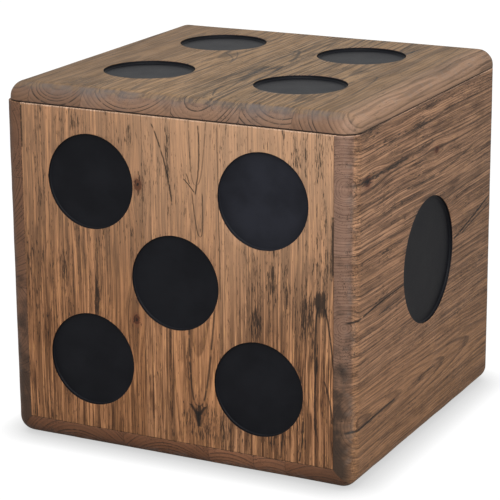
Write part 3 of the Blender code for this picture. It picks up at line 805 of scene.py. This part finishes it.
LID_WOOD = Board(
    "lid", along=1, across=0, face=(lid_top, 1), light=LID_LIGHT, dark=LID_DARK, ring=4.4, seed=2.3,
    wander=3.2, streaks=0.44, grain=7.0, grain_dark=0.62, ring_dark=0.95, end_colour=(0.245, 0.134, 0.084),
    staves=[
        (-168, 0.69, 0.7, 0.02, -190, 30, 0.02),
        (-105.6, 0.70, 0.7, 0.00, -136, 26, 0.03),
        (-1.2, 1.00, 0.4, 0.30, -52, 24, -0.05),
        (75, 1.00, 0.2, 0.55, 28, 20, 0.06),
        (132, 0.99, 0.3, 0.45, 118, 27, -0.04),
        (200, 0.80, 0.6, 0.18, 230, 30, 0.00),
    ],
    # Painted light: the lid's right edge is paler, as if lit from the right
    washes=[(0, 166, 198, (0.43, 0.265, 0.178), 0.80)],
    lines=[
        (-10, -94, 15.5, 24, -1.5, 4.2, 0.62),
        (82, 18, 8, 27, 3.0, 2.2, 0.66),
        (-94, -172, 24, 34, 1.0, 1.2, 0.7),
        (-120, -170, 18, 33, -3, 1.2, 0.7),
        (36, -10, -60, -32, 7, 1.3, 0.65),
        (52, -24, -54, -29, 6, 1.0, 0.55),
        (-10, -130, -32, -22, -2, 1.0, 0.55),
        (172, 108, -53, -44, 2, 1.0, 0.55),
        (172, 30, 127, 119, 2, 0.9, 0.50),
        (170, -150, 163, 176, 3, 0.9, 0.50),
        (-60, -165, 36, 34, 2, 1.0, 0.6),
        (150, 30, 22, 36, 3, 0.9, 0.6),
    ],
    arches=[
        (-14, 140, -105, 14.0, 4.0, 1.3, 0.62),
        (-112, 141, -80, 12.0, -3.0, 1.2, 0.55),
    ],
    smudges=[(-45, 18, 40, 5, 0.5), (-5, -60, 16, 8, 0.6), (70, 12, 20, 4, 0.4), (-160, -120, 26, 34, 0.9)],
    edge_dirt=[(0, 230, 0.50), (-150, 34, 0.45), (-78, 46, 0.60), (98, 34, 0.75), (160, 24, 0.50)],
    # Painted shadow along the lid's lower edge
    seam=lid_low.z * 1000,
)
FRONT_WOOD = Board(
    "front", **panel_look, face=(front_face, -1), ring=3.6, seed=5.1,
    # Painted sheen: paler upward, more to the right
    fade=(90, 380, (0.50, 0.31, 0.19), 0.30, 0.62),
    # A pale line under the top edge: the worn arris, with a painted highlight on it
    washes=[(2, panel_top - 1.3, panel_top - 0.5, (0.95, 0.70, 0.56), 0.80)],
    staves=[
        (-75, 0.94, 0.8, 0.60, -240, 40, 0.00),
        (-34.7, 0.75, 1.5, 0.45, 20, 60, 0.02),
        (-2, 1.00, 0.5, 0.62, -90, 30, 0.00),
        (52.3, 0.95, 0.7, 0.35, 28, 46, -0.05),
        (85, 1.05, 0.2, 0.50, 160, 40, 0.01),
        (180, 1.04, 0.5, 0.70, 30, 60, -0.01),
    ],
    lines=[
        (362, 289, 30.0, 26.0, 2.5, 0.9, 0.8),
        (305, 292, 13.0, 25.0, 0.5, 0.9, 0.9),
        (311, 300, 16.0, 20.0, 0, 0.7, 0.8),
        (359, 275, -23.3, -0.7, 4.0, 1.0, 0.85),
        (69, 24, 121.7, 120.0, 1.0, 0.9, 0.8),
        (69, 24, 145.0, 140.7, 1.0, 0.9, 0.8),
        (365, 180, 51.0, 53.5, 0.0, 0.6, 0.6),
        (140, 60, 160.5, 158.0, -1.0, 1.0, 0.8),
        (115, 70, 168.0, 177.0, 2.0, 1.0, 0.8),
        # The next two lines are painted shade for the open joint at the panel's left and right edges, kept
        # below the crack strength so they are not cut
        (364, 318, -177.4, -177.2, 0.0, 1.5, 0.89),
        (285, 222, 177.2, 177.2, 0.0, 1.3, 0.80),
        (67, 56, 17.0, 25.0, 0.0, 2.2, 0.89),
        (66, 56, 34.0, 27.5, 0.0, 2.2, 0.89),
        (60, 43, 25.5, 26.5, 0.5, 2.8, 0.89),
    ],
    arches=[
        (66, 26.5, 118, 15.5, 5.5, 1.3, 0.80),
        (247, 31.0, 48, 6.0, -3.0, 0.7, 0.75),
        (192, 165.0, -80, 11.0, 4.0, 1.1, 0.9),
        (300, 27.0, 120, 12.0, 4.0, 0.8, 0.5),
    ],
    smudges=[
        (58, 26, 14, 6, 1.6), (196, 163, 11, 7, 1.9),
        (350, -111, 16, 7, 0.9), (190, -131, 26, 5, 1.0), (162, -92, 22, 6, 0.9), (345, -50, 14, 5, 0.7),
        (160, 92, 20, 8, 1.0), (212, 110, 16, 6, 0.9), (198, 130, 18, 7, 0.8), (178, 150, 34, 8, 1.0),
        (192, 166, 16, 6, 1.0), (250, 176, 40, 2.5, 1.0), (290, -43, 18, 6, 0.8), (325, -6, 30, 4, 0.6),
        (140, 158, 20, 6, 0.7), (52, 27, 14, 4, 0.9), (255, 118, 30, 14, 0.5), (340, 140, 14, 10, 0.5),
        (40, 60, 14, 18, 0.4), (120, -60, 30, 6, 0.5), (45, 110, 18, 16, 0.6),
        (46, 42, 30, 46, 0.9),
    ],
    knots=[(293, -40, 4.5), (149, -44.7, 4.0)],
)
RIGHT_WOOD = Board(
    "right", **side_look, face=(right_face, 1), ring=3.1, seed=8.7, end_colour=(0.186, 0.114, 0.086),
    staves=[
        (110, 1.04, 0.8, 0.35, 68, 26, 0.045),
        (245, 1.06, 0.6, 0.50, 172, -11, 0.00),
        (400, 1.20, 0.4, 0.60, 313, -11, 0.00),
    ],
    washes=[
        # Painted shade: darker towards the back
        (1, -120, 190, (0.125, 0.080, 0.046), 0.30),
        # Darker towards the bottom
        (2, 190, 0, (0.23, 0.122, 0.052), 0.45),
        # A pale line under the top edge: the worn arris, with a painted highlight on it
        (2, side_top - 1.4, side_top - 0.5, (0.70, 0.48, 0.36), 0.40),
    ],
    grain=3.6, end_darkening=0.88, end_fading=0.45, end_lines=0.35,
    lines=[
        (-197, -66, 177.0, 184.0, 1.5, 1.3, 0.9),
        (66, 175, 197.0, 222.0, -1.0, 1.5, 0.9),
        (90, 176, 198.0, 212.0, 1.0, 1.2, 0.8),
        (-197, -60, 315.0, 316.0, 1.0, 1.6, 0.7),
        (-66, 12, 284.0, 281.0, -1.0, 1.6, 0.7),
        (20, 120, 281.0, 291.0, -1.0, 1.0, 0.6),
        (-150, 60, 343.0, 348.0, -4.0, 0.9, 0.6),
        (-197, -90, 62.0, 66.0, 1.0, 1.5, 0.9),
        (-60, 20, 65.0, 68.0, 2.0, 1.0, 0.5),
    ],
    smudges=[
        (-168, 315, 14, 5, 1.0), (-120, 316, 50, 4, 0.8), (-60, 343, 90, 4, 0.6), (-30, 283, 40, 4, 0.8),
        (40, 283, 30, 2.5, 0.6), (-118, 170, 22, 4, 0.8), (150, 215, 50, 4, 0.7), (-90, 232, 60, 4, 0.5),
        (-170, 63, 28, 3, 0.8), (-30, 67, 25, 3, 0.5), (-120, 150, 60, 3, 0.4), (90, 186, 20, 3, 0.5),
    ],
    knots=[(14, 308, 3.5), (-165, 314, 5.0)],
)
LEFT_WOOD = Board(
    "left", **side_look, face=(left_face, -1), ring=3.4, seed=12.4, grain=3.8,
    end_colour=(0.118, 0.058, 0.035),
    staves=[
        (70, 0.98, 0.5, 0.40, 30, 40, 0.04),
        (165, 1.04, 0.4, 0.50, 128, 12, 0.00),
        (285, 0.98, 0.5, 0.45, 300, 52, 0.02),
        (400, 1.02, 0.5, 0.55, 330, 24, -0.04),
    ],
    lines=[(-180, -40, 128, 133, 2, 1.1, 0.8), (30, 185, 332, 326, -2, 1.0, 0.7)],
    smudges=[(-120, 130, 50, 4, 0.8), (90, 328, 60, 4, 0.7), (40, 200, 40, 5, 0.5)],
    knots=[(120, 300, 4.0), (-150, 60, 5.0)],
)
BACK_WOOD = Board(
    "back", **panel_look, face=(back_face, 1), ring=3.8, seed=17.9,
    # Painted sheen: paler upward
    fade=(110, 380, (0.50, 0.31, 0.20), 0.40, 0.40),
    staves=[
        (-110, 0.95, 0.6, 0.55, -150, 50, 0.02),
        (-28, 0.98, 0.5, 0.50, -70, 36, -0.05),
        (46, 0.92, 0.5, 0.60, 10, 60, 0.03),
        (121, 1.00, 0.6, 0.40, 85, 40, 0.05),
        (180, 0.95, 0.4, 0.60, 150, 55, -0.02),
    ],
    lines=[(340, 210, -66, -58, 3, 1.0, 0.8), (150, 40, 88, 96, -2, 1.0, 0.8)],
    smudges=[(300, -80, 40, 5, 0.8), (90, 92, 40, 5, 0.8), (200, 10, 40, 8, 0.6)],
    knots=[(220, 70, 4.5), (110, -70, 4.0)],
)
BOTTOM_WOOD = Board(
    "bottom", along=1, across=0, face=(0.0, -1), light=SIDE_LIGHT, dark=SIDE_DARK, ring=3.8, seed=23.0,
    end_colour=(0.240, 0.096, 0.046), end_darkening=0.25,
    washes=[(0, 60, 190, DARK_BROWN, 0.55), (0, -165, -195, DARK_BROWN, 0.60)],
    staves=[
        (-64, 0.68, 0.7, 0.45, -120, 44, 0.03),
        (37, 0.74, 0.8, 0.50, -10, 36, -0.03),
        (89, 1.04, 0.5, 0.50, 60, 50, 0.02),
        (125, 1.15, 0.5, 0.40, 110, 40, 0.05),
        (220, 1.00, 0.9, 0.50, 170, 48, -0.03),
    ],
    lines=[(-150, 60, -90, -84, 2, 1.0, 0.8)],
    smudges=[(-60, -88, 60, 5, 0.7), (80, 60, 40, 6, 0.6)],
    knots=[(100, -120, 4.5)],
)


def inner_board(name, along, across, seed):
    """Plain unstained wood for the cleats and the battens."""
    return Board(
        name, along=along, across=across, face=(0.0, 1), light=(0.42, 0.28, 0.17), dark=(0.17, 0.095, 0.050),
        staves=[(500, 0.95, 0.6, 0.40, 30, 60, 0.03)], ring=6.0, seed=seed,
    )


# ---- Paint and metal

def paint_material():
    """Satin black paint brushed thinly over the bare floor of a pip."""
    g = Graph("black_paint")
    x, y, z = g.position()
    cloud = g.noise(x / 30.0, y / 30.0, z / 30.0, detail=3.0)
    stipple = g.noise(x / 0.9, y / 0.9, z / 0.9, detail=3.0, roughness=0.6)
    brush = g.noise(x / 9.0, y / 9.0, z / 1.2, detail=3.0)
    colour = g.mix(g.smooth(cloud, 0.3, 0.75), (0.0046, 0.0050, 0.0070), (0.0072, 0.0078, 0.0104))
    colour = g.mix(g.smooth(stipple, 0.62, 0.80) * 0.20, colour, (0.020, 0.021, 0.024))
    # Painted sheen: the pip at the front's upper right is painted paler and bluer, standing in for a
    # reflection on its paint
    pale_x, pale_y, pale_z = (c / MM for c in SHEEN_PIP)
    away = (x - pale_x) * (x - pale_x) + (y - pale_y) * (y - pale_y) + (z - pale_z) * (z - pale_z)
    pale = g.smooth(away, 70.0 ** 2, 20.0 ** 2) * (g.smooth(cloud, 0.20, 0.70) * 0.5 + 0.5)
    colour = g.mix(pale * 0.9, colour, (0.0175, 0.0190, 0.0265))
    roughness = (cloud - 0.5) * 0.16 + (stipple - 0.5) * 0.14 + 0.48
    height = stipple * 0.5 + brush * 0.8
    return g.finish(colour, roughness, height, relief=0.08 * MM, specular=0.13)


def metal_material(name, bright, dull, cloud_size, tarnish, scratch_size, gloss):
    """Metal with clouds of tarnish and fine scratches.

    tarnish: the cloud levels where it starts and is full. scratch_size: along X, Y and Z.
    gloss: the least roughness, what the clouds add and what the scratches add.
    """
    g = Graph(name)
    position = g.position()
    cloud = g.noise(*[part / cloud_size for part in position], detail=4.0)
    scratch = g.noise(*[part / size for part, size in zip(position, scratch_size)], detail=2.0)
    colour = g.mix(g.smooth(cloud, *tarnish), bright, dull)
    roughness = gloss[0] + cloud * gloss[1] + (scratch - 0.5) * gloss[2]
    return g.finish(colour, roughness, scratch, relief=0.02 * MM, metallic=1.0)


SHEEN_PIP = max((pip[0] for pip in recesses("front_panel", 1, -1)), key=lambda centre: centre.x + centre.z)
PAINT = paint_material()
BRASS = metal_material(
    "antique_brass", bright=(0.50, 0.34, 0.14), dull=(0.16, 0.105, 0.055),
    cloud_size=6.0, tarnish=(0.40, 0.68), scratch_size=(7.0, 0.25, 0.25), gloss=(0.30, 0.25, 0.15),
)
STEEL = metal_material(
    "zinc_steel", bright=(0.60, 0.60, 0.58), dull=(0.42, 0.42, 0.41),
    cloud_size=5.0, tarnish=(0.35, 0.70), scratch_size=(0.25, 0.3, 8.0), gloss=(0.28, 0.2, 0.18),
)


# ---- Boards

def stand_for(item, node, body):
    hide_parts(node)
    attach(item, body)


def shape_board(bm, mitres=()):
    """Wears a board. Mitres are cut after its arrises are rounded, so that the joint closes tight."""
    soften(bm, ARRIS)
    for point, outward in mitres:
        trim(bm, point, outward)
    slice_up(bm)
    wear(bm)
    bmesh.ops.triangulate(bm, faces=[f for f in bm.faces if len(f.verts) > 4])


def carcass_block(top):
    return rounded_block(whole_low, (whole_high.x, whole_high.y, top), flat_end=1)


def mitre(side, offset):
    """The 45 degree joint at a lower corner, moved up by an offset."""
    return Vector((side * whole_high.x, 0, offset * math.sqrt(2))), Vector((side, 0, 1)).normalized()


def make_side(node, side, wood, inner_x, top):
    bm = carcass_block(top)
    trim(bm, Vector((inner_x, 0, 0)), RIGHT * -side)
    point, upward = mitre(side, MITRE_GAP / 2)
    shape_board(bm, [(point, -upward)])
    item = to_object(f"{node}_board", bm, [wood_material(wood), PAINT])
    cut_pips(item, node, 0, side)
    cut_cracks(item, wood)
    stand_for(item, node, "carcass")


def make_bottom():
    bm = carcass_block(left_high.z)
    trim(bm, Vector((0, 0, bottom_high.z)), UP)
    shape_board(bm, [mitre(side, -MITRE_GAP / 2) for side in (-1, 1)])
    item = to_object("bottom_board_board", bm, [wood_material(BOTTOM_WOOD), PAINT])
    cut_pips(item, "bottom_board", 2, -1)
    stand_for(item, "bottom_board", "carcass")


def make_panel(node, outward, wood):
    low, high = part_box(node)
    bm = rounded_block(low, high, flat_end=0)
    shape_board(bm)
    item = to_object(f"{node}_board", bm, [wood_material(wood), PAINT])
    cut_pips(item, node, 1, outward)
    cut_cracks(item, wood)
    stand_for(item, node, "carcass")
    return item


def make_lid():
    bm = rounded_block(lid_low, lid_high, flat_end=-1)
    shape_board(bm)
    item = to_object("lid_panel_board", bm, [wood_material(LID_WOOD), PAINT])
    cut_pips(item, "lid_panel", 2, 1)
    stand_for(item, "lid_panel", "lid")
    return item


def cut_mortises(item, kind):
    """Pockets for two hinge leaves of one kind, open at the board's back."""
    bm = bmesh.new()
    for side in ("left", "right"):
        low, high = leaf_plate(f"hinge_{side}_{kind}_leaf")
        behind = whole_high.y + POCKET_OVERCUT
        add_box(bm, low - Vector((FIT, FIT, FIT)), Vector((high.x + FIT, behind, high.z + FIT)))
    cut(item, to_object(f"{item.name}_mortise_tool", bm, list(item.data.materials)))


def leaf_plate(leaf):
    """A leaf's box without its knuckles, which lie behind the plate."""
    return extent([v.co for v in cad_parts[leaf].data.vertices if v.co.y < whole_high.y - 2 * MM])


def make_inner_wood(node, body, along, across, seed):
    low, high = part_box(node)
    bm = rounded_block(low, high, flat_end=0)
    soften(bm, 1.5 * MM)
    item = to_object(f"{node}_wood", bm, [wood_material(inner_board(node, along, across, seed))])
    stand_for(item, node, body)


make_side("left_side_panel", -1, LEFT_WOOD, left_high.x, left_high.z)
make_side("right_side_panel", 1, RIGHT_WOOD, right_low.x, right_high.z)
make_bottom()
make_panel("front_panel", -1, FRONT_WOOD)
back_board = make_panel("back_panel", 1, BACK_WOOD)
lid_board = make_lid()
cut_mortises(back_board, "body")
cut_mortises(lid_board, "lid")
for number, corner in enumerate(("front_left", "front_right", "rear_left", "rear_right")):
    make_inner_wood(f"corner_cleat_{corner}", "carcass", 2, 0, 31.0 + number)
make_inner_wood("lid_batten_front", "lid", 0, 1, 41.0)
make_inner_wood("lid_batten_rear", "lid", 0, 1, 42.0)


# ---- Hardware

def dress(node, material, edge=0.25 * MM):
    """Gives a CAD piece its metal and softens its edges."""
    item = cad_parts[node]
    if not item.material_slots:
        item.data.materials.append(material)
    item.material_slots[0].material = material
    weld = item.modifiers.new("weld", "WELD")
    weld.merge_threshold = 0.00001
    bevel = item.modifiers.new("edges", "BEVEL")
    bevel.width = edge
    bevel.segments = 2
    bevel.limit_method = "ANGLE"
    bevel.angle_limit = HARD_EDGE
    bevel.harden_normals = True
    smooth(item.data)


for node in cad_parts:
    if node.startswith("hinge") and "screw" not in node:
        dress(node, BRASS, 0.2 * MM)
    elif node.startswith("stay") and "screw" not in node:
        dress(node, STEEL, 0.2 * MM)


def screw_mesh(name, head_radius, shank_radius, length, material):
    """A countersunk screw with a slightly crowned head and a cross recess, head at Z = 0, pointing down."""
    depth = 1.4 * MM
    profile = [(0.0, 0.0), (head_radius * 0.92, 0.0), (head_radius, -0.2 * MM), (shank_radius, -depth)]
    pitch = 1.2 * MM
    turns = int((length - depth - 2 * shank_radius) / pitch)
    for k in range(turns):
        z = -depth - pitch * (k + 1)
        profile += [(shank_radius * 0.78, z + 0.7 * pitch), (shank_radius, z + 0.35 * pitch)]
    profile += [(shank_radius * 0.75, profile[-1][1] - 0.4 * pitch), (0.0, -length)]
    bm = bmesh.new()
    lathe(bm, profile, Matrix.Identity(4), 32, [0] * len(profile))
    item = to_object(name, bm, [material])
    reach = 0.55 * head_radius
    half = 0.17 * head_radius
    for x, y in ((reach, half), (half, reach)):
        bm = bmesh.new()
        add_box(bm, (-x, -y, -1.1 * MM), (x, y, 1.0 * MM))
        cut(item, to_object("cross_tool", bm, [material]))
    mesh = item.data
    bpy.data.objects.remove(item)
    return mesh


def place_screws():
    """Every screw at its CAD place, each turned a little differently."""
    meshes = {}
    screws = sorted(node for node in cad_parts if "screw" in node)
    for number, node in enumerate(screws):
        low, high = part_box(node)
        if "wall_plate" in node:
            outward = -RIGHT
        elif "body_leaf" in node:
            outward = UP
        else:
            outward = -UP
        centre = (low + high) / 2
        length = abs((high - low).dot(outward))
        size = min(high - low) / 2
        head = centre + outward * (length / 2)
        metal = (BRASS, "hinge_brass") if node.startswith("hinge") else (STEEL, "zinc_steel")
        key = (round(size, 4), metal[1])
        if key not in meshes:
            meshes[key] = screw_mesh(f"screw_{len(meshes)}", size, size * 0.51, length, metal[0])
        item = bpy.data.objects.new(f"{node}_detailed", meshes[key])
        bpy.context.scene.collection.objects.link(item)
        turn = Matrix.Rotation(2.4 * number, 4, "Z")
        aim = UP.rotation_difference(outward).to_matrix().to_4x4()
        item.matrix_world = Matrix.Translation(head) @ aim @ turn
        body = "lid" if outward == -UP else "carcass"
        stand_for(item, node, body)


place_screws()


# ---- Floor, light, camera

def make_floor():
    """A pale sweep that glows white to the camera, with a contact shadow painted into the glow from ambient
    occlusion; other rays see it grey.
    """
    bpy.ops.mesh.primitive_plane_add(size=14.0, location=(0, 0, 0))
    floor = bpy.context.object
    floor.name = "floor"
    g = Graph("pale_floor")
    path = g.nodes.new("ShaderNodeLightPath")
    seen = Value(g, path.outputs["Is Camera Ray"])
    colour = g.mix(seen, (0.42, 0.41, 0.40), (0.03, 0.03, 0.03))
    # Painted contact shadow: the glow dims where ambient occlusion finds the box close by
    near = g.nodes.new("ShaderNodeAmbientOcclusion")
    near.inputs["Distance"].default_value = 0.035
    open_share = Value(g, near.outputs["AO"])
    g.shader.inputs["Emission Color"].default_value = (1.0, 1.0, 1.0, 1.0)
    g.put(g.shader.inputs["Emission Strength"], seen * (open_share * open_share * 0.42 + 0.60))
    floor.data.materials.append(g.finish(colour, 0.9, specular=0.0))


def make_lights():
    """A dome that is brighter overhead than at the horizon, and one large soft lamp by the camera."""
    world = bpy.data.worlds.new("studio")
    bpy.context.scene.world = world
    world.use_nodes = True
    nodes = world.node_tree.nodes
    links = world.node_tree.links
    coordinates = nodes.new("ShaderNodeTexCoord")
    split = nodes.new("ShaderNodeSeparateXYZ")
    links.new(coordinates.outputs["Generated"], split.inputs[0])
    height = nodes.new("ShaderNodeMapRange")
    for socket, value in (("From Min", 0.0), ("From Max", 0.8), ("To Min", 0.55), ("To Max", 1.05)):
        height.inputs[socket].default_value = value
    links.new(split.outputs[2], height.inputs["Value"])
    links.new(height.outputs[0], nodes["Background"].inputs["Strength"])
    nodes["Background"].inputs["Color"].default_value = (1.0, 1.0, 1.0, 1.0)
    add_area("key", (0.65, -1.45, 1.35), (0.0, 0.0, 0.2), 1.1, 17.0)
    add_area("fill", (1.5, -0.9, 1.1), (0.0, 0.0, 0.2), 0.9, 6.0)


def add_area(name, place, target, size, power):
    light = bpy.data.lights.new(name, "AREA")
    light.shape = "DISK"
    light.size = size
    light.energy = power
    item = bpy.data.objects.new(name, light)
    bpy.context.scene.collection.objects.link(item)
    item.location = place
    item.rotation_euler = (Vector(target) - Vector(place)).to_track_quat("-Z", "Y").to_euler()


def make_camera():
    """A long lens in front and to the right of the box, a little above its lid."""
    azimuth, elevation, roll = (math.radians(a) for a in (26.922, 16.158, -0.438))
    distance = 2.3313
    middle = (whole_low + whole_high) / 2
    target = Vector((middle.x - 0.0091, middle.y - 0.0046, 0.1786))
    level = math.cos(elevation)
    away = Vector((math.sin(azimuth) * level, -math.cos(azimuth) * level, math.sin(elevation)))
    right = (-away).cross(UP).normalized()
    up = right.cross(-away)
    rolled_right = right * math.cos(roll) + up * math.sin(roll)
    rolled_up = up * math.cos(roll) - right * math.sin(roll)
    camera = bpy.data.cameras.new("camera")
    camera.sensor_width = 36.0
    camera.lens = 153.17
    item = bpy.data.objects.new("camera", camera)
    bpy.context.scene.collection.objects.link(item)
    turn = Matrix((rolled_right, rolled_up, away)).transposed().to_4x4()
    item.matrix_world = Matrix.Translation(target + away * distance) @ turn
    bpy.context.scene.camera = item


make_floor()
make_lights()
make_camera()
bpy.context.scene.view_settings.view_transform = "Standard"
